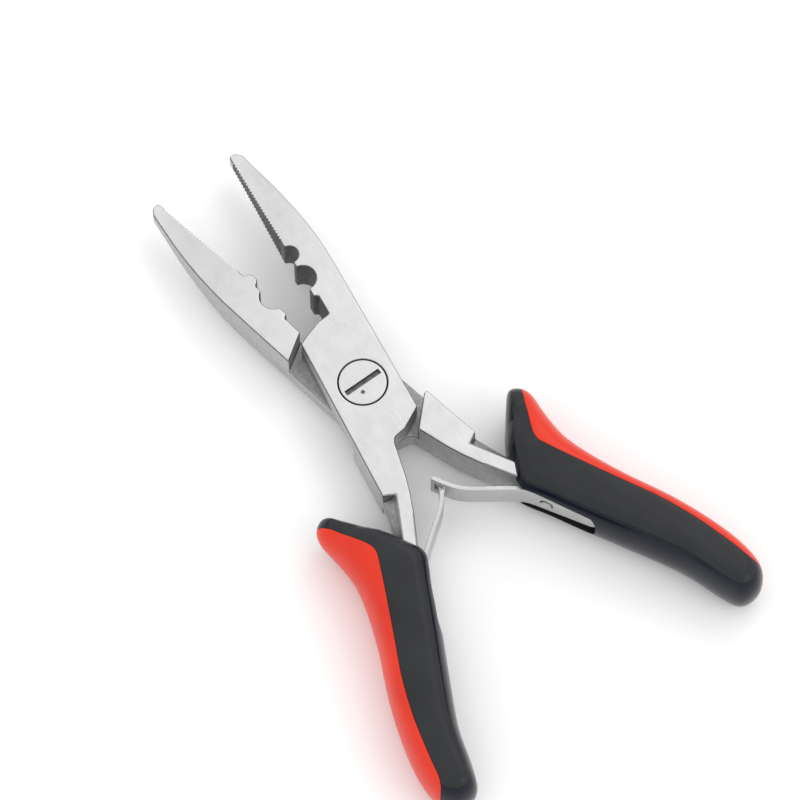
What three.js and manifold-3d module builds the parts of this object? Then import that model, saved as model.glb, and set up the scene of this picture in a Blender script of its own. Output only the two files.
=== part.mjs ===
// Long-nose fishing pliers: two half-lapped levers on a slotted screw, crimping notches behind
// the serrated jaws, two interlocking leaf springs and two-colour moulded grips.
//
// Millimetres, +Z up. The origin is on the pivot axis, at the back end face of the pivot screw.
// +X runs along the centreline to the jaw tips, and the pliers stand open.
//
// Both levers are the same forging, turned over about the X axis. So each lever, with its grip,
// spring and rivet, is drawn once in a frame of its own: z = 0 is its outer face, its jaw lies
// at y > 0 with the closing line at y = 0, and its handle lies at y < 0.
import * as THREE from "three";
import { mergeVertices } from "three/addons/utils/BufferGeometryUtils.js";
import Module from "manifold-3d";

const wasm = await Module();
wasm.setup();

// Driving dimensions
const OPENING = THREE.MathUtils.degToRad(17); // angle between the levers at rest
const THICKNESS = 8.2; // of a lever, at the joint
const MID = THICKNESS / 2;
const JAW_LENGTH = 50.6; // from the pivot to the tip
const JAW_WIDTH = 6.35; // from the closing line to the jaw's outer face
const HANDLE_LENGTH = 74.2; // from the pivot to the end of the grip, along the lever
const CLOSING_GAP = 0.15; // each gripping edge stands this far back from the closing line
const LAP_GAP = 0.2; // between the two half-lap faces
const FIT = 0.3; // clearance between pieces that sit in each other
const OVERRUN = 1; // a cutter passes the surface it cuts by this much

const SCREW_HEAD = { diameter: 8.3, height: 1.35 };
const SCREW_SLOT = { width: 0.95, length: 7.2, depth: 0.75 };
const PUNCH_MARK = { x: -1.5, y: 1.1, radius: 0.35, depth: 0.3 };
const SCREW_SHANK = 5;
const BORE_CLEARANCE = 0.15; // all round the screw

const TOOTH = { pitch: 0.7, depth: 0.3, first: 30.6, last: 49.0 };
const TANG_THICKNESS = 5;
const COVE = { radius: 3.0, standOff: 0.8, length: 20 }; // scooped along the handle's outer edges

const LEAF = { thickness: 0.8, width: 5.4, rootWidth: 3, taperFrom: -33, rootEnd: -46 };
const TIP_CROSSING = -22.05; // where the two leaves' tips pass through each other
const TONGUE = { width: 2.3, from: TIP_CROSSING - 1.4, to: -20.7 };
const EYE = { width: 2.9, from: TIP_CROSSING - 0.95, to: TIP_CROSSING + 0.9 };
const RIVET = { diameter: 2, x: -37, depth: 3, headHeight: 0.3, clearance: 0.2 };

const GRIP_THICKNESS = 12;
const GRIP_ROUNDING = { inPlan: 1.5, inHeight: 2.4 };
const MOUTH_END = -33.6; // the handle enters the grip at full thickness as far as here
const SLOT_END = -46.4; // of the slot that the spring's root lies in

// A closed geometry as a solid that can be joined and cut.
function solid(geometry) {
  geometry.deleteAttribute("normal");
  geometry.deleteAttribute("uv");
  const merged = mergeVertices(geometry, 1e-4);
  return new wasm.Manifold(
    new wasm.Mesh({
      numProp: 3,
      vertProperties: merged.attributes.position.array,
      triVerts: new Uint32Array(merged.index.array),
    }),
  );
}

function shapeOf(points) {
  return new THREE.Shape(points.map(([a, b]) => new THREE.Vector2(a, b)));
}

// An outline of [x, y] points, raised from z = low to z = high.
function prism(points, low, high) {
  const geometry = new THREE.ExtrudeGeometry(shapeOf(points), {
    depth: high - low,
    bevelEnabled: false,
  });
  return solid(geometry.translate(0, 0, low));
}

// An outline of [x, z] points, carried from y = near to y = far.
function sidePrism(points, near, far) {
  const geometry = new THREE.ExtrudeGeometry(shapeOf(points), {
    depth: far - near,
    bevelEnabled: false,
  });
  return solid(geometry.rotateX(Math.PI / 2).translate(0, far, 0));
}

// A round bar between two [x, y, z] ends.
function bar(start, end, radius, sides) {
  const from = new THREE.Vector3(...start);
  const along = new THREE.Vector3(...end).sub(from);
  const geometry = new THREE.CylinderGeometry(radius, radius, along.length(), sides);
  geometry.translate(0, along.length() / 2, 0);
  const up = new THREE.Vector3(0, 1, 0);
  geometry.applyQuaternion(new THREE.Quaternion().setFromUnitVectors(up, along.normalize()));
  return solid(geometry.translate(from.x, from.y, from.z));
}

function block(x0, x1, y0, y1, z0, z1) {
  const geometry = new THREE.BoxGeometry(x1 - x0, y1 - y0, z1 - z0);
  return solid(geometry.translate((x0 + x1) / 2, (y0 + y1) / 2, (z0 + z1) / 2));
}

// Points on an arc from one angle to another, in degrees, over the top or underneath.
function arc(x, y, radius, from, to, steps) {
  const [a, b] = [from, to].map(THREE.MathUtils.degToRad);
  const curve = new THREE.EllipseCurve(x, y, radius, radius, a, b, from > to);
  return curve.getPoints(steps).map((p) => [p.x, p.y]);
}

// A smooth run of points through the given ones.
function smooth(points, steps) {
  const curve = new THREE.SplineCurve(points.map(([x, y]) => new THREE.Vector2(x, y)));
  return curve.getSpacedPoints(steps).map((p) => [p.x, p.y]);
}

// A line of points moved sideways, to the left of the way it runs where the distance is positive.
function shifted(points, distance, closed) {
  const last = points.length - 1;
  const leastCosine = 0.5; // a sharp corner moves by no more than twice the distance
  return points.map(([x, y], i) => {
    const before = points[i === 0 && closed ? last : Math.max(i - 1, 0)];
    const after = points[i === last && closed ? 0 : Math.min(i + 1, last)];
    const arriving = new THREE.Vector2(x - before[0], y - before[1]).normalize();
    const leaving = new THREE.Vector2(after[0] - x, after[1] - y).normalize();
    const way = arriving.clone().add(leaving).normalize();
    const cosine = Math.max(way.dot(arriving), way.dot(leaving));
    const mitre = distance / Math.max(cosine, leastCosine);
    return [x - way.y * mitre, y + way.x * mitre];
  });
}

function mesh(name, part, material) {
  const { numProp, numVert, vertProperties, triVerts } = part.getMesh();
  const positions = new Float32Array(numVert * 3);
  for (let i = 0; i < numVert; i++)
    positions.set(vertProperties.subarray(i * numProp, i * numProp + 3), i * 3);
  const geometry = new THREE.BufferGeometry();
  geometry.setAttribute("position", new THREE.BufferAttribute(positions, 3));
  geometry.setIndex(new THREE.BufferAttribute(triVerts, 1));
  const made = new THREE.Mesh(geometry, material);
  made.name = name;
  return made;
}

// ---- Lever ----

const JAW_OUTER_FACE = [
  [JAW_LENGTH - 0.2, CLOSING_GAP],
  [JAW_LENGTH, 0.9],
  [JAW_LENGTH - 0.15, 1.6],
  [JAW_LENGTH - 1.1, 2.45],
  [45.3, 3.45],
  [41.8, 4.3],
  [38.5, 4.95],
  [34.8, 5.55],
  [31.5, 5.95],
  [28.0, 6.25],
  [22.0, JAW_WIDTH],
  [-8.4, 6.15],
];

// The inner side of the handle, from the corner behind the pivot to the mouth of the grip.
const HANDLE_INNER_SIDE = [
  [-11.0, 2.3],
  [-11.55, 0.3],
  [-11.9, -0.15],
  [-12.6, -0.5],
  [-15.3, -1.0],
  [-18.6, -1.65],
  [-21.5, -2.4],
  [-25.4, -3.7],
  [-29.0, -5.2],
];

const HANDLE_OUTER_SIDE = [
  [-28.0, -8.3],
  [-20.3, -7.0],
  [-14.0, -6.8],
  [-4.0, -6.55],
  [4.0, -6.25],
  [11.4, -6.0],
  [12.35, -4.25],
  [13.7, -1.4],
  [14.0, CLOSING_GAP],
];

// The spring's straight root lies in the grip, along this line.
const ROOT_SLOPE = 0.36;
const rootY = (x) => -6.75 + ROOT_SLOPE * (x + 35);
const ROOT_TURN = Math.atan(ROOT_SLOPE);
const TANG_DROP = (LEAF.thickness / 2 + FIT) / Math.cos(ROOT_TURN);

// The tang is the part of the lever that the grip covers.
const TANG = [
  [-31.5, -6.2],
  [-33.2, -6.95],
  [-35.0, rootY(-35) - TANG_DROP],
  [-47.0, rootY(-47) - TANG_DROP],
  [-66.0, -17.4],
  [-66.7, -19.0],
  [-65.6, -20.4],
  [-50.0, -17.2],
  [-40.0, -14.2],
  [-33.0, -12.0],
  [-29.8, -9.9],
];

// The handle on its own, for the hollow that the grip fits it with.
const HANDLE_IN_GRIP = [[-22, -2.5], ...HANDLE_INNER_SIDE.slice(-2), ...TANG, [-28, -8.3], [-22, -7.3]];

// Half the lever's thickness along its length, as [x, half thickness].
const TAPER = [
  [JAW_LENGTH + 1, 1.45],
  [47.0, 1.6],
  [42.0, 2.0],
  [38.0, 2.45],
  [34.0, 3.0],
  [30.0, 3.55],
  [26.0, 3.95],
  [22.0, MID],
  [-31.2, MID],
  [-33.2, TANG_THICKNESS / 2],
  [-HANDLE_LENGTH, TANG_THICKNESS / 2],
];

// Fine teeth across the gripping face, from the notches to the tip.
function serrations() {
  const points = [];
  for (let x = TOOTH.first; x < TOOTH.last; x += TOOTH.pitch) {
    points.push([x, CLOSING_GAP]);
    points.push([x + TOOTH.pitch / 2, CLOSING_GAP + TOOTH.depth]);
  }
  return [...points, [TOOTH.last, CLOSING_GAP]];
}

// Gripping edges from the joint to the teeth. The front lever has two round crimping notches;
// the back lever has a shallower one, and a crimping nose that enters the front lever's.
const CUTTER_GAP = [
  [14.2, 0.95],
  [18.1, 0.95],
  [18.4, CLOSING_GAP],
];

const NOTCHED_EDGE = [
  ...CUTTER_GAP,
  ...arc(22.4, CLOSING_GAP, 2.35, 180, 0, 14),
  ...arc(27.6, CLOSING_GAP, 1.7, 180, 0, 12),
];

const NOSED_EDGE = [
  ...CUTTER_GAP,
  ...arc(22.5, -0.6, 2.4, 161, 19, 10),
  ...arc(27.6, 0.35, 1.45, 188, 352, 10),
];

function leverOutline(grippingEdge) {
  return [
    ...JAW_OUTER_FACE,
    ...HANDLE_INNER_SIDE,
    ...TANG,
    ...HANDLE_OUTER_SIDE,
    ...grippingEdge,
    ...serrations(),
  ];
}

// What the other lever's boss needs: the inner half of the joint, between two shoulders.
const LAP_OUTLINE = [
  [14.35, -12],
  [14.35, 0.9],
  [11.0, 8.0],
  [-14.0, 8.0],
  [-14.0, 0.6],
  [-13.0, -0.45],
  [-8.9, -6.0],
  [-8.2, -12],
];

// A scoop along one of the handle's outer edges, parallel to the handle's inner side, with a
// square shoulder where it starts.
function cove(z) {
  const [from, , to] = HANDLE_INNER_SIDE.slice(-3);
  const run = new THREE.Vector2(to[0] - from[0], to[1] - from[1]).normalize();
  const [shoulderX, shoulderY] = HANDLE_OUTER_SIDE[1];
  const x = shoulderX - run.y * COVE.standOff;
  const y = shoulderY + run.x * COVE.standOff;
  const end = [x + run.x * COVE.length, y + run.y * COVE.length, z];
  return bar([x, y, z], end, COVE.radius, 24);
}

function lever(grippingEdge, headDepth) {
  const side = [
    ...TAPER.map(([x, half]) => [x, MID + half]),
    ...TAPER.map(([x, half]) => [x, MID - half]).reverse(),
  ];
  const blank = prism(leverOutline(grippingEdge), -OVERRUN, THICKNESS + OVERRUN);
  const boreRadius = SCREW_SHANK / 2 + BORE_CLEARANCE;
  let made = blank
    .intersect(sidePrism(side, -30, 30))
    .subtract(prism(LAP_OUTLINE, MID - LAP_GAP / 2, THICKNESS + OVERRUN))
    .subtract(bar([0, 0, -OVERRUN], [0, 0, THICKNESS], boreRadius, 48))
    .subtract(cove(0))
    .subtract(cove(THICKNESS));
  if (headDepth > 0) {
    const recessRadius = SCREW_HEAD.diameter / 2 + BORE_CLEARANCE;
    made = made.subtract(bar([0, 0, -OVERRUN], [0, 0, headDepth], recessRadius, 64));
  }
  return made;
}

// ---- Pivot screw, drawn in the pliers' frame ----

function pivotScrew() {
  const shank = SCREW_SHANK / 2;
  const head = SCREW_HEAD.diameter / 2;
  const underHead = THICKNESS - SCREW_HEAD.height;
  const profile = [
    [0, 0],
    [shank - 0.3, 0],
    [shank, 0.3],
    [shank, underHead],
    [head, underHead],
    [head, THICKNESS - 0.1],
    [head - 0.1, THICKNESS],
    [0, THICKNESS],
  ];
  const turned = new THREE.LatheGeometry(
    profile.map(([r, z]) => new THREE.Vector2(r, z)),
    64,
  ).rotateX(Math.PI / 2);
  const halfWidth = SCREW_SLOT.width / 2;
  const halfLength = SCREW_SLOT.length / 2;
  const over = THICKNESS + OVERRUN;
  const slotFloor = THICKNESS - SCREW_SLOT.depth;
  const slot = block(-halfWidth, halfWidth, -halfLength, halfLength, slotFloor, over);
  const { x, y, radius, depth } = PUNCH_MARK;
  const punchMark = bar([x, y, THICKNESS - depth], [x, y, over], radius, 16);
  return solid(turned).subtract(slot).subtract(punchMark);
}

// ---- Leaf springs ----

// The leaf's middle line, from its root in the grip to its tip on the centreline.
const LEAF_PATH = [
  ...[-46.2, -43, -40, -37].map((x) => [x, rootY(x)]),
  ...smooth(
    [
      [-35.0, rootY(-35)],
      [-33.3, -5.95],
      [-31.9, -4.75],
      [-29.8, -2.7],
      [-26.8, 0.4],
      [-24.8, 2.0],
      [-22.6, 3.05],
      [-20.4, 3.85],
    ],
    18,
  ),
];

const roundEnd = (x, radius) => arc(x, MID, radius, 90, 270, 12);

// The tip is a tongue on the front leaf and an eye on the back one, so that they interlock.
function leaf(hasTongue) {
  const half = LEAF.thickness / 2;
  const width = LEAF.width / 2;
  const strip = [...shifted(LEAF_PATH, half), ...shifted(LEAF_PATH, -half).reverse()];
  const rootHalf = LEAF.rootWidth / 2;
  const side = [
    [0, MID - width],
    [0, MID + width],
    [LEAF.taperFrom, MID + width],
    ...roundEnd(LEAF.rootEnd + rootHalf, rootHalf),
    [LEAF.taperFrom, MID - width],
  ];
  const rivetHole = rivetBar(-2, 2, RIVET.diameter / 2 + RIVET.clearance);
  const whole = prism(strip, MID - width, MID + width)
    .intersect(sidePrism(side, -20, 20))
    .subtract(rivetHole);
  if (!hasTongue) {
    const eye = EYE.width / 2;
    return whole.subtract(block(EYE.from, EYE.to, 0, 6, MID - eye, MID + eye));
  }
  const tongue = TONGUE.width / 2;
  const [near, far, low, high] = [-2, 8, -OVERRUN, THICKNESS + OVERRUN];
  return whole
    .subtract(block(TONGUE.from, 0, near, far, MID + tongue, high))
    .subtract(block(TONGUE.from, 0, near, far, low, MID - tongue))
    .subtract(block(TONGUE.to, 0, near, far, low, high));
}

// A bar square to the leaf's root, between two heights over its middle line.
function rivetBar(low, high, radius) {
  const across = [-Math.sin(ROOT_TURN), Math.cos(ROOT_TURN)];
  const at = (height) => [RIVET.x + across[0] * height, rootY(RIVET.x) + across[1] * height, MID];
  return bar(at(low), at(high), radius, 24);
}

function rivetHoleInTang() {
  return rivetBar(-RIVET.depth - FIT, OVERRUN, RIVET.diameter / 2 + RIVET.clearance);
}

function rivet() {
  return rivetBar(-RIVET.depth, LEAF.thickness / 2 + RIVET.headHeight, RIVET.diameter / 2);
}

// ---- Grips ----

const GRIP_OUTLINE = smooth(
  [
    [-18.6, -17.0],
    [-18.8, -18.6],
    [-20.1, -19.7],
    [-22.0, -19.8],
    [-26.2, -18.6],
    [-31.0, -18.0],
    [-36.5, -18.6],
    [-43.5, -20.2],
    [-52.0, -22.9],
    [-60.0, -24.8],
    [-67.2, -25.3],
    [-71.5, -24.5],
    [1.2 - HANDLE_LENGTH, -22.4],
    [-HANDLE_LENGTH, -19.8],
    [1.4 - HANDLE_LENGTH, -17.4],
    [-69.2, -16.1],
    [-62.0, -14.9],
    [-54.0, -12.2],
    [-47.2, -9.7],
    [-42.0, -7.9],
    [-38.3, -6.7],
    [-35.0, -5.5],
    [-32.6, -4.9],
    [-30.9, -5.4],
    [-29.0, -7.0],
    [-26.6, -8.7],
    [-24.6, -10.4],
    [-22.3, -12.8],
    [-20.0, -15.2],
    [-18.6, -17.0],
  ],
  76,
).slice(1);

// The line on the grip's face between its black body and its inlay.
const INLAY_EDGE = [
  [-18.4, -21.5],
  [-19.3, -19.3],
  [-20.9, -17.9],
  [-23.8, -15.9],
  [-27.2, -13.6],
  [-28.8, -13.0],
  [-30.4, -13.2],
  [-36.0, -14.9],
  [-44.0, -17.5],
  [-51.0, -19.8],
  [-58.0, -21.4],
  [-65.0, -22.3],
  [-70.6, -23.0],
  [-74.0, -26.0],
];

function wholeGrip() {
  const { inPlan, inHeight } = GRIP_ROUNDING;
  const depth = GRIP_THICKNESS - 2 * inHeight;
  const geometry = new THREE.ExtrudeGeometry(shapeOf(GRIP_OUTLINE), {
    depth,
    bevelEnabled: true,
    bevelThickness: inHeight,
    bevelSize: inPlan,
    bevelOffset: -inPlan,
    bevelSegments: 3,
  });
  return solid(geometry.translate(0, 0, MID - depth / 2));
}

// Everything on the inlay's side of its edge, which is moved by a distance into the inlay.
function inlaySide(distance) {
  const edge = shifted(INLAY_EDGE, distance);
  return prism([...edge, [-74, -40], [-10, -40], [-10, -21.5]], -10, 20);
}

function gripInlay() {
  return wholeGrip().intersect(inlaySide(FIT));
}

function gripBody() {
  const room = shifted(HANDLE_IN_GRIP, -FIT, true);
  const tangHalf = TANG_THICKNESS / 2 + FIT;
  const nearMouth = block(MOUTH_END, -20, -20, 0, -2, 12);
  const mouth = prism(room, -FIT, THICKNESS + FIT).intersect(nearMouth);
  const slotHalf = LEAF.width / 2 + FIT;
  const slotPlan = [
    [-30.0, -6.4],
    [-35.0, rootY(-35) - TANG_DROP],
    [-50.0, rootY(-50) - TANG_DROP],
    [-50.0, -2],
    [-30.0, 0],
  ];
  const slotSide = [
    [-20, MID - slotHalf],
    [-20, MID + slotHalf],
    ...roundEnd(SLOT_END + slotHalf, slotHalf),
  ];
  const slot = prism(slotPlan, -2, 12).intersect(sidePrism(slotSide, -20, 5));
  return wholeGrip()
    .subtract(inlaySide(0))
    .subtract(prism(room, MID - tangHalf, MID + tangHalf))
    .subtract(mouth)
    .subtract(slot);
}

// ---- Assembly ----

const steel = () =>
  new THREE.MeshStandardMaterial({ color: 0xd9d9dc, roughness: 0.36, metalness: 1 });
const springSteel = () =>
  new THREE.MeshStandardMaterial({ color: 0xc9c9cd, roughness: 0.33, metalness: 1 });
const blackMoulding = () =>
  new THREE.MeshStandardMaterial({ color: 0x24252c, roughness: 0.45, metalness: 0 });
const redMoulding = () =>
  new THREE.MeshStandardMaterial({ color: 0xf0452c, roughness: 0.4, metalness: 0 });

function half(name, grippingEdge, headDepth, hasTongue) {
  const group = new THREE.Group();
  group.add(
    mesh(`${name}_lever`, lever(grippingEdge, headDepth).subtract(rivetHoleInTang()), steel()),
    mesh(`${name}_grip_body`, gripBody(), blackMoulding()),
    mesh(`${name}_grip_inlay`, gripInlay(), redMoulding()),
    mesh(`${name}_leaf_spring`, leaf(hasTongue), springSteel()),
    mesh(`${name}_spring_rivet`, rivet(), steel()),
  );
  return group;
}

const front = half("front", NOTCHED_EDGE, SCREW_HEAD.height + BORE_CLEARANCE, true);
front.rotation.set(Math.PI, 0, OPENING / 2);
front.position.z = THICKNESS;

const back = half("back", NOSED_EDGE, 0, false);
back.rotation.z = OPENING / 2;

const pliers = new THREE.Group();
pliers.add(front, back, mesh("pivot_screw", pivotScrew(), steel()));

export default pliers;
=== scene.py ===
"""Long-nose fishing pliers: ground steel levers, leaf springs and two-colour moulded grips."""
import math

import bmesh
import bpy
from mathutils import Matrix, Vector


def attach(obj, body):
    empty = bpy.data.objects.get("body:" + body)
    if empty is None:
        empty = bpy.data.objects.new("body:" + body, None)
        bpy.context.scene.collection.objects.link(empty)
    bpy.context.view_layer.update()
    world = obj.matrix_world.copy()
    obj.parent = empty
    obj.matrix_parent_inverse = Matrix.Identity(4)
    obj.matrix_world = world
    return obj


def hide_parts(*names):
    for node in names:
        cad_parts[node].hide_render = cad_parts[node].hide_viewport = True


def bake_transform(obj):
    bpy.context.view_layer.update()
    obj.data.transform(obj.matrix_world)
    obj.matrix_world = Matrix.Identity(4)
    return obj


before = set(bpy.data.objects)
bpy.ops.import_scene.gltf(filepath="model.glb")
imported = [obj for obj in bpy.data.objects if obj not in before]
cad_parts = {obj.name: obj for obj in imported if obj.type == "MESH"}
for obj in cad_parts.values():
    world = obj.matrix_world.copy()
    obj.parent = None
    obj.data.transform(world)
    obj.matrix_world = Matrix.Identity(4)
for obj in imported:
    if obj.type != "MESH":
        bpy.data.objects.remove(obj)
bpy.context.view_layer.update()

# Sizes and points are in mm, in a lever's own frame: its outer face at z = 0, its jaw at y > 0.
MM = 0.001
HALF_OPENING = math.radians(8.5)
THICKNESS = 8.2  # of a lever at the joint
MID = THICKNESS / 2
GRIP_THICKNESS = 12.0
SIDES = ("front", "back")

LEVER_EDGE = 0.3  # width of the rounding along a lever's edges
LEAF_EDGE = 0.12
RIVET_EDGE = 0.1
SCREW_EDGE = 0.08


def lever_matrix(side):
    """From a lever's own frame, in mm, to the pliers' frame, in metres."""
    turn = Matrix.Rotation(HALF_OPENING, 4, "Z")
    if side == "front":
        flip = Matrix.Translation((0, 0, THICKNESS)) @ Matrix.Rotation(math.pi, 4, "X")
        turn = flip @ turn
    return Matrix.Scale(MM, 4) @ turn


# ---------------------------------------------------------------- mesh helpers


def link(name, mesh):
    obj = bpy.data.objects.new(name, mesh)
    bpy.context.scene.collection.objects.link(obj)
    return obj


def object_of(bm, name, materials=()):
    """A new object with a bmesh as its mesh. The bmesh is freed."""
    mesh = bpy.data.meshes.new(name)
    for material in materials:
        mesh.materials.append(material)
    bm.to_mesh(mesh)
    bm.free()
    return link(name, mesh)


def copy_of(node):
    """A clean bmesh of a CAD node: welded, with its flat faces whole again."""
    bm = bmesh.new()
    bm.from_mesh(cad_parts[node].data)
    bmesh.ops.remove_doubles(bm, verts=bm.verts, dist=2e-6)
    bmesh.ops.dissolve_limit(
        bm, angle_limit=math.radians(1.5), verts=bm.verts, edges=bm.edges
    )
    return bm


def shade(obj, smooth_angle):
    for polygon in obj.data.polygons:
        polygon.use_smooth = True
    obj.data.set_sharp_from_angle(angle=math.radians(smooth_angle))


def steel_piece(bm, name, materials):
    """A piece with rounded edges, shaded so that its flat faces stay flat."""
    bmesh.ops.recalc_face_normals(bm, faces=bm.faces)
    piece = object_of(bm, name, materials)
    shade(piece, 35)
    modifier = piece.modifiers.new("even_shading", "WEIGHTED_NORMAL")
    modifier.keep_sharp = True
    return piece


def bevel_edges(bm, edges, width, segments):
    bmesh.ops.bevel(
        bm,
        geom=edges,
        offset=width,
        offset_type="OFFSET",
        segments=segments,
        profile=0.5,
        affect="EDGES",
        clamp_overlap=False,
        harden_normals=False,
    )


def sharp_edges(bm, angle):
    limit = math.radians(angle)
    return [e for e in bm.edges if len(e.link_faces) == 2 and e.calc_face_angle(0) > limit]


def prism(outline, low, high):
    """A bmesh of an outline raised between two heights."""
    bm = bmesh.new()
    face = bm.faces.new([bm.verts.new((x, y, low)) for x, y in outline])
    for item in bmesh.ops.extrude_face_region(bm, geom=[face])["geom"]:
        if isinstance(item, bmesh.types.BMVert):
            item.co.z = high
    bmesh.ops.recalc_face_normals(bm, faces=bm.faces)
    return bm


def catmull_rom(a, b, c, d, steps):
    """Points from b towards c on the curve through the four vectors."""
    made = []
    for k in range(steps):
        t = k / steps
        slope = (c - a) * t
        curve = (2 * a - 5 * b + 4 * c - d) * t**2
        twist = (3 * b - a - 3 * c + d) * t**3
        made.append(0.5 * (2 * b + slope + curve + twist))
    return made


def smooth_line(points, per_span=5):
    """A smooth run through the points, ends included."""
    knots = [Vector(point) for point in (points[0], *points, points[-1])]
    made = []
    for a, b, c, d in zip(knots, knots[1:], knots[2:], knots[3:]):
        made += catmull_rom(a, b, c, d, per_span)
    return [(p.x, p.y) for p in made] + [points[-1]]


def smooth_loop(points, per_span=4):
    """A smooth closed run through the points."""
    count = len(points)
    made = []
    for i in range(count):
        around = [Vector(points[(i + k) % count]) for k in (-1, 0, 1, 2)]
        made += catmull_rom(*around, per_span)
    return made


def boolean(obj, cutter, operation):
    modifier = obj.modifiers.new("cut", "BOOLEAN")
    modifier.operation = operation
    modifier.solver = "EXACT"
    modifier.object = cutter
    graph = bpy.context.evaluated_depsgraph_get()
    made = bpy.data.meshes.new_from_object(obj.evaluated_get(graph))
    obj.modifiers.clear()
    obj.data = made


# ---------------------------------------------------------------- materials


def new_material(name):
    material = bpy.data.materials.new(name)
    material.use_nodes = True
    tree = material.node_tree
    shader = tree.nodes["Principled BSDF"]
    return material, tree, shader


def noise(tree, scale, detail, rotation=0.0, roughness=0.5):
    """Noise in the object's own coordinates, with so many cells to the metre each way."""
    coordinates = tree.nodes.new("ShaderNodeTexCoord")
    mapping = tree.nodes.new("ShaderNodeMapping")
    mapping.inputs["Rotation"].default_value = (0, 0, rotation)
    mapping.inputs["Scale"].default_value = scale
    texture = tree.nodes.new("ShaderNodeTexNoise")
    texture.inputs["Scale"].default_value = 1.0
    texture.inputs["Detail"].default_value = detail
    texture.inputs["Roughness"].default_value = roughness
    tree.links.new(coordinates.outputs["Object"], mapping.inputs["Vector"])
    tree.links.new(mapping.outputs["Vector"], texture.inputs["Vector"])
    return texture.outputs["Fac"]


def ramp(tree, value, low, high, start=0.3, end=0.7):
    """Runs from one colour or grey level to another as the value goes from start to end."""
    node = tree.nodes.new("ShaderNodeValToRGB")
    stops = ((start, low), (end, high))
    for element, (position, color) in zip(node.color_ramp.elements, stops):
        element.position = position
        element.color = (*color, 1)
    tree.links.new(value, node.inputs["Fac"])
    return node.outputs["Color"]


def bump(tree, shader, height, strength, distance):
    node = tree.nodes.new("ShaderNodeBump")
    node.inputs["Strength"].default_value = strength
    node.inputs["Distance"].default_value = distance
    tree.links.new(height, node.inputs["Height"])
    tree.links.new(node.outputs["Normal"], shader.inputs["Normal"])


def level(value):
    return (value, value, value)


def steel_grey(value):
    """A grey that is very slightly blue."""
    return (value, value, value * 1.01)


def ground_steel(name, rotation, light=0.67, dark=0.53):
    """Satin steel with fine grinding marks along the lever and faint blotches."""
    material, tree, shader = new_material(name)
    grain = noise(tree, (260, 9000, 6000), detail=4, rotation=-rotation)
    blotch = noise(tree, (240, 240, 240), detail=5, roughness=0.6)
    mix = tree.nodes.new("ShaderNodeMix")
    mix.data_type = "FLOAT"
    mix.inputs["Factor"].default_value = 0.5
    tree.links.new(grain, mix.inputs["A"])
    tree.links.new(blotch, mix.inputs["B"])
    value = mix.outputs["Result"]
    color = ramp(tree, value, steel_grey(dark), steel_grey(light))
    tree.links.new(color, shader.inputs["Base Color"])
    tree.links.new(ramp(tree, value, level(0.46), level(0.36)), shader.inputs["Roughness"])
    shader.inputs["Metallic"].default_value = 1.0
    bump(tree, shader, grain, 0.35, 0.00004)
    return material


def moulded(name, light, dark, roughness, specular):
    """Moulded plastic with a fine spark-eroded grain and slow colour drift."""
    material, tree, shader = new_material(name)
    drift = noise(tree, (120, 120, 120), detail=4)
    grain = noise(tree, (5200, 5200, 5200), detail=2)
    tree.links.new(ramp(tree, drift, dark, light), shader.inputs["Base Color"])
    gloss, matt = roughness
    tree.links.new(ramp(tree, drift, level(gloss), level(matt)), shader.inputs["Roughness"])
    shader.inputs["Specular IOR Level"].default_value = specular
    bump(tree, shader, grain, 0.18, 0.00003)
    return material


def satin_side(name, light, dark, roughness):
    """The milled and blasted flanks: duller than the ground faces, with a fine mottle. Its darker
    copies are painted shade.
    """
    material, tree, shader = new_material(name)
    mottle = noise(tree, (1500, 1500, 1500), detail=5, roughness=0.65)
    speck = noise(tree, (6000, 6000, 6000), detail=2)
    color = ramp(tree, mottle, steel_grey(dark), steel_grey(light), 0.32, 0.68)
    tree.links.new(color, shader.inputs["Base Color"])
    gloss, matt = roughness
    tree.links.new(ramp(tree, mottle, level(matt), level(gloss)), shader.inputs["Roughness"])
    shader.inputs["Metallic"].default_value = 1.0
    bump(tree, shader, speck, 0.35, 0.00004)
    return material


STEEL = {
    "front": ground_steel("front_lever_steel", -HALF_OPENING),
    "back": ground_steel("back_lever_steel", HALF_OPENING),
}
FLANK = satin_side("flank_steel", 0.55, 0.42, (0.42, 0.55))
# Very dark steel for the rounded edges, the jaws' gripping faces and the screw's slot: painted
# shade.
DEEP_SHADE_STEEL = satin_side("deep_painted_shade_steel", 0.20, 0.12, (0.45, 0.60))
# Darker steel for the scoop and the lap floors between the levers: painted shade.
LAP_SHADE_STEEL = satin_side("lap_painted_shade_steel", 0.34, 0.24, (0.40, 0.55))
SCREW_STEEL = ground_steel("screw_steel", math.radians(90))
SPRING_STEEL = ground_steel("spring_strip_steel", 0.0, light=0.60, dark=0.46)
BLACK = moulded(
    "black_moulding", (0.016, 0.017, 0.020), (0.009, 0.010, 0.012), (0.34, 0.44), 0.32
)
# The grip's sides near mid height: the lower roughness is real gloss; the darker, bluer base
# colour is painted shade with a painted blue sheen.
GLOSS_AND_SHADE = moulded("black_gloss_with_painted_shade", (0.006, 0.008, 0.017), (0.003, 0.004, 0.010), (0.16, 0.22), 0.25)
RED = moulded("red_moulding", (0.72, 0.032, 0.010), (0.64, 0.026, 0.008), (0.28, 0.38), 0.28)


# ---------------------------------------------------------------- pieces


# A lever's material slots; the last two are painted shade.
GROUND_FACE, FLANK_FACE, DEEP_SHADE_FACE, LAP_SHADE_FACE = range(4)


def is_toothed(point):
    return 30.3 < point.x < 49.2 and point.y < 0.62


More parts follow.
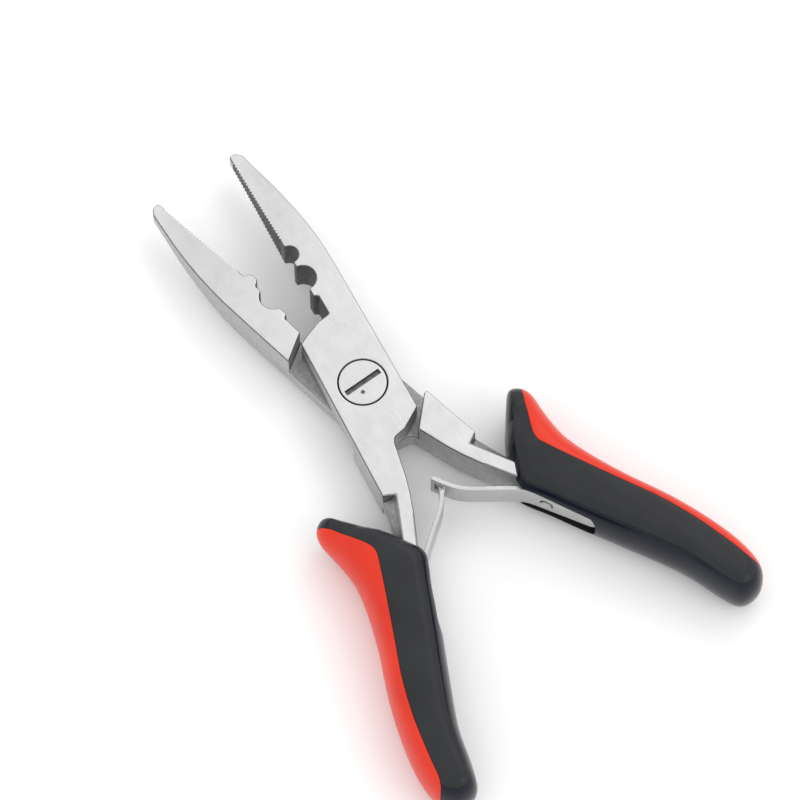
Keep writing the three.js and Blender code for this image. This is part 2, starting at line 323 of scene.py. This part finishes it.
def lever_face(point, upright):
    """Which material a lever's face has, from its middle and how level it lies, from 0 to 1. The
    scoop and the lap floors get painted shade; the rounded edges and the jaws' gripping faces get
    a deeper painted shade.
    """
    # Painted shade: the scoop's hollow and the lap floors in the gap between the levers.
    in_scoop = point.x < -20.2 and point.y < -4.5 and 0.01 < upright < 0.97
    in_lap = upright > 0.3 and abs(point.z - MID) < 0.3 and -14.5 < point.x < 14.5
    if in_scoop or in_lap:
        return LAP_SHADE_FACE
    if upright > 0.8:
        return GROUND_FACE
    # Painted shade: a dark line along the rounded edges, and dark gripping faces in the jaws.
    rounded_edge = upright > 0.1
    gripping = 13.9 < point.x < 49.4 and point.y < 3.0
    return DEEP_SHADE_FACE if rounded_edge or gripping else FLANK_FACE


def lever(side):
    node = side + "_lever"
    bm = copy_of(node)
    into = lever_matrix(side).inverted()
    edges = [
        edge
        for edge in sharp_edges(bm, 32)
        if not is_toothed(into @ ((edge.verts[0].co + edge.verts[1].co) / 2))
    ]
    bevel_edges(bm, edges, LEVER_EDGE * MM, 3)
    piece = steel_piece(bm, node + "_ground", (STEEL[side], FLANK, DEEP_SHADE_STEEL, LAP_SHADE_STEEL))
    for polygon in piece.data.polygons:
        polygon.material_index = lever_face(into @ polygon.center, abs(polygon.normal.z))
    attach(piece, side + "_half")
    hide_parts(node)


def pivot_screw():
    """The slot, the punch mark and the hidden shank are darker than the two ends: painted shade
    in the recesses.
    """
    bm = copy_of("pivot_screw")
    bevel_edges(bm, sharp_edges(bm, 40), SCREW_EDGE * MM, 2)
    piece = steel_piece(bm, "pivot_screw_finished", (SCREW_STEEL, DEEP_SHADE_STEEL))
    for polygon in piece.data.polygons:
        inside = 0.35 * MM < polygon.center.z < (THICKNESS - 0.15) * MM
        polygon.material_index = 1 if inside else 0
    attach(piece, "back_half")
    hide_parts("pivot_screw")


def spring_rivet(side):
    """A rivet with a staked dimple in the end that shows."""
    node = side + "_spring_rivet"
    bm = copy_of(node)
    into = lever_matrix(side).inverted()
    ends = [face for face in bm.faces if len(face.verts) > 8]
    shown = max(ends, key=lambda face: (into @ face.calc_center_median()).y)
    bmesh.ops.inset_individual(bm, faces=[shown], thickness=0.55 * MM, depth=-0.35 * MM)
    bevel_edges(bm, sharp_edges(bm, 40), RIVET_EDGE * MM, 2)
    piece = steel_piece(bm, node + "_finished", (SPRING_STEEL,))
    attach(piece, side + "_half")
    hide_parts(node)


def leaf_spring(side):
    node = side + "_leaf_spring"
    bm = copy_of(node)
    bevel_edges(bm, sharp_edges(bm, 40), LEAF_EDGE * MM, 2)
    piece = steel_piece(bm, side + "_spring_leaf", (SPRING_STEEL,))
    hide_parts(node)
    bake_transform(piece)


# Stations round a grip: a point of its outline at mid height, and the point of its flat face
# that the rounded flank rises to. They start at the thumb stop and run back along the outer side.
GRIP_STATIONS = [
    ((-18.1, -17.2), (-22.0, -15.3)),
    ((-18.6, -18.7), (-22.6, -15.9)),
    ((-20.1, -19.6), (-23.6, -16.1)),
    ((-22.3, -19.6), (-25.0, -15.5)),
    ((-26.2, -18.6), (-27.5, -14.3)),
    ((-31.0, -18.0), (-31.0, -13.6)),
    ((-36.5, -18.6), (-36.0, -14.7)),
    ((-43.5, -20.2), (-43.2, -16.7)),
    ((-52.0, -22.8), (-52.0, -19.3)),
    ((-60.0, -24.4), (-60.0, -21.0)),
    ((-66.4, -24.9), (-65.9, -21.6)),
    ((-71.1, -24.2), (-69.1, -21.3)),
    ((-73.4, -22.2), (-70.1, -20.6)),
    ((-74.0, -19.7), (-70.5, -19.6)),
    ((-72.8, -17.3), (-69.5, -19.0)),
    ((-68.8, -16.1), (-67.2, -18.9)),
    ((-62.0, -14.9), (-61.0, -18.1)),
    ((-54.0, -12.2), (-52.8, -15.5)),
    ((-47.2, -9.7), (-46.0, -13.0)),
    ((-42.0, -7.9), (-41.0, -11.2)),
    ((-38.3, -6.7), (-37.6, -10.0)),
    ((-35.0, -5.4), (-35.4, -9.2)),
    ((-32.6, -4.7), (-34.0, -8.7)),
    ((-30.7, -5.2), (-32.8, -8.6)),
    ((-28.7, -6.7), (-31.2, -9.2)),
    ((-26.3, -8.4), (-29.2, -10.5)),
    ((-24.2, -10.2), (-27.0, -12.1)),
    ((-22.0, -12.6), (-25.0, -13.7)),
    ((-19.7, -15.1), (-23.0, -15.0)),
]

# The line on a grip's face between its black body and its red inlay.
INLAY_EDGE = [
    (-18.4, -21.5),
    (-19.3, -19.3),
    (-20.9, -17.9),
    (-23.8, -15.9),
    (-27.2, -13.6),
    (-28.8, -13.0),
    (-30.4, -13.2),
    (-36.0, -14.9),
    (-44.0, -17.5),
    (-51.0, -19.8),
    (-58.0, -21.4),
    (-65.0, -22.3),
    (-70.6, -23.0),
    (-74.0, -26.0),
]
SEAM = 0.08  # between the body and the inlay

FLANK_RINGS = 12  # from mid height to the flat face
# The rings nearest mid height get a darker, bluer black: painted shade and a painted blue sheen
# on real gloss.
GLOSS_AND_SHADE_RINGS = 8  # of those, the ones nearest mid height
FLANK_FULLNESS = 0.9  # a power on the flank's roundness: under 1 is fuller
THUMB_STOP_DROP = 1.6  # the face falls this far towards the thumb stop
THUMB_STOP_START = -29
THUMB_STOP_RUN = 6

# The slot that the spring's root lies in, cut from the grip's inner side.
SLOT_END = -46.4
SLOT_HALF_WIDTH = 3.5
SLOT_FLOOR = ((-35, -7.5), (SLOT_END, -11.604))
SLOT_OUTLINE = [(-30.0, -6.4), *SLOT_FLOOR, (SLOT_END, -2), (-30.0, 0)]


def face_share(x):
    """The grip's thickness at its flat face, as a share of its full thickness."""
    fall = min(max((x - THUMB_STOP_START) / THUMB_STOP_RUN, 0), 1)
    return 1 - THUMB_STOP_DROP * fall * fall / (GRIP_THICKNESS / 2)


def rounded_grip(name):
    outer = smooth_loop([rim for rim, _ in GRIP_STATIONS])
    inner = smooth_loop([flat for _, flat in GRIP_STATIONS])
    bm = bmesh.new()
    rings = []
    for i in range(-FLANK_RINGS, FLANK_RINGS + 1):
        turn = math.radians(90) * i / FLANK_RINGS
        across = max(math.cos(turn), 0) ** FLANK_FULLNESS
        z = MID + math.sin(turn) * GRIP_THICKNESS / 2
        spots = [flat + (rim - flat) * across for rim, flat in zip(outer, inner)]
        rings.append([bm.verts.new((spot.x, spot.y, z)) for spot in spots])
    count = len(outer)
    for i, (low, high) in enumerate(zip(rings, rings[1:])):
        # Painted shade and sheen on the rings nearest mid height.
        gloss_and_shade = abs(i + 0.5 - FLANK_RINGS) < GLOSS_AND_SHADE_RINGS
        for k in range(count):
            n = (k + 1) % count
            face = bm.faces.new((low[k], low[n], high[n], high[k]))
            face.material_index = 1 if gloss_and_shade else 0
    bm.faces.new(rings[-1])
    bm.faces.new(list(reversed(rings[0])))
    bmesh.ops.recalc_face_normals(bm, faces=bm.faces)
    for x in range(THUMB_STOP_START, THUMB_STOP_START + THUMB_STOP_RUN + 2):
        everything = bm.verts[:] + bm.edges[:] + bm.faces[:]
        bmesh.ops.bisect_plane(bm, geom=everything, plane_co=(x, 0, 0), plane_no=(1, 0, 0))
    for vert in bm.verts:
        vert.co.z = MID + (vert.co.z - MID) * face_share(vert.co.x)
    return object_of(bm, name, (BLACK, GLOSS_AND_SHADE))


def slot_cutter():
    bm = prism(SLOT_OUTLINE, MID - SLOT_HALF_WIDTH, MID + SLOT_HALF_WIDTH)
    corners = [
        edge
        for edge in bm.edges
        if abs(edge.verts[0].co.z - edge.verts[1].co.z) < 0.01
        and max(vert.co.x for vert in edge.verts) < SLOT_END + 0.4
    ]
    bevel_edges(bm, corners, 2.8, 6)
    return object_of(bm, "slot_cutter")


def inlay_side_cutter(shift):
    line = [(x, y - shift) for x, y in smooth_line(INLAY_EDGE)]
    outline = line + [(-74.0, -40.0), (-10.0, -40.0), (-10.0, -21.5)]
    return object_of(prism(outline, -10, 20), "inlay_side")


def grip(side):
    black = rounded_grip(side + "_grip_black")
    red = link(side + "_grip_red", black.data.copy())
    slot, body_side, inlay_side = slot_cutter(), inlay_side_cutter(0), inlay_side_cutter(SEAM)
    boolean(black, body_side, "DIFFERENCE")
    boolean(black, slot, "DIFFERENCE")
    boolean(red, inlay_side, "INTERSECT")
    for cutter in (slot, body_side, inlay_side):
        bpy.data.objects.remove(cutter)
    red.data.materials.clear()
    red.data.materials.append(RED)
    for polygon in red.data.polygons:
        polygon.material_index = 0
    for piece, node, slot_name in (
        (black, side + "_grip_body", "black_grip"),
        (red, side + "_grip_inlay", "red_grip"),
    ):
        piece.data.transform(lever_matrix(side))
        shade(piece, 40)
        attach(piece, side + "_half")
        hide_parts(node)


for side in SIDES:
    lever(side)
    grip(side)
    leaf_spring(side)
    spring_rivet(side)
pivot_screw()


# ---------------------------------------------------------------- stage, light and camera


FLOOR_GAP = 0.1  # between the grips' lowest face and the floor


def floor():
    bm = bmesh.new()
    bmesh.ops.create_grid(bm, x_segments=1, y_segments=1, size=1.5)
    material, _, shader = new_material("pale_floor")
    shader.inputs["Base Color"].default_value = (0.95, 0.95, 0.95, 1)
    shader.inputs["Roughness"].default_value = 0.9
    shader.inputs["Specular IOR Level"].default_value = 0.1
    obj = object_of(bm, "floor", (material,))
    obj.location.z = (MID - GRIP_THICKNESS / 2 - FLOOR_GAP) * MM


def placed(name, data, azimuth, elevation, distance, target=Vector((0, 0, 0))):
    """A light or camera that looks at the target from an azimuth and elevation, in degrees."""
    obj = bpy.data.objects.new(name, data)
    bpy.context.scene.collection.objects.link(obj)
    a, e = math.radians(azimuth), math.radians(elevation)
    back = Vector((math.sin(a) * math.cos(e), -math.cos(a) * math.cos(e), math.sin(e)))
    obj.location = target + back * distance
    obj.rotation_euler = back.to_track_quat("Z", "Y").to_euler()
    return obj


def area_light(name, azimuth, elevation, power):
    light = bpy.data.lights.new(name, "AREA")
    light.size = 0.3
    light.energy = power
    placed(name, light, azimuth, elevation, 0.7)


VIEW_AZIMUTH = 233.2
VIEW_ELEVATION = 66.7
VIEW_WIDTH = 0.1372  # of the picture, at the pliers
VIEW_DISTANCE = 0.75
LOOK_AT = Vector((-6.53, -3.11, THICKNESS)) * MM


def camera():
    data = bpy.data.cameras.new("camera")
    data.sensor_width = 36
    data.lens = data.sensor_width * VIEW_DISTANCE / VIEW_WIDTH
    data.clip_start = 0.01
    bpy.context.scene.camera = placed(
        "camera", data, VIEW_AZIMUTH, VIEW_ELEVATION, VIEW_DISTANCE, LOOK_AT
    )


def sky():
    world = bpy.data.worlds.new("studio")
    world.use_nodes = True
    background = world.node_tree.nodes["Background"]
    background.inputs["Color"].default_value = (1, 1, 1, 1)
    background.inputs["Strength"].default_value = 1.1
    bpy.context.scene.world = world


floor()
sky()
camera()
area_light("overhead", VIEW_AZIMUTH + 150, 50, 0.5)
area_light("key", VIEW_AZIMUTH + 60, 40, 0.45)
bpy.context.scene.view_settings.view_transform = "Standard"
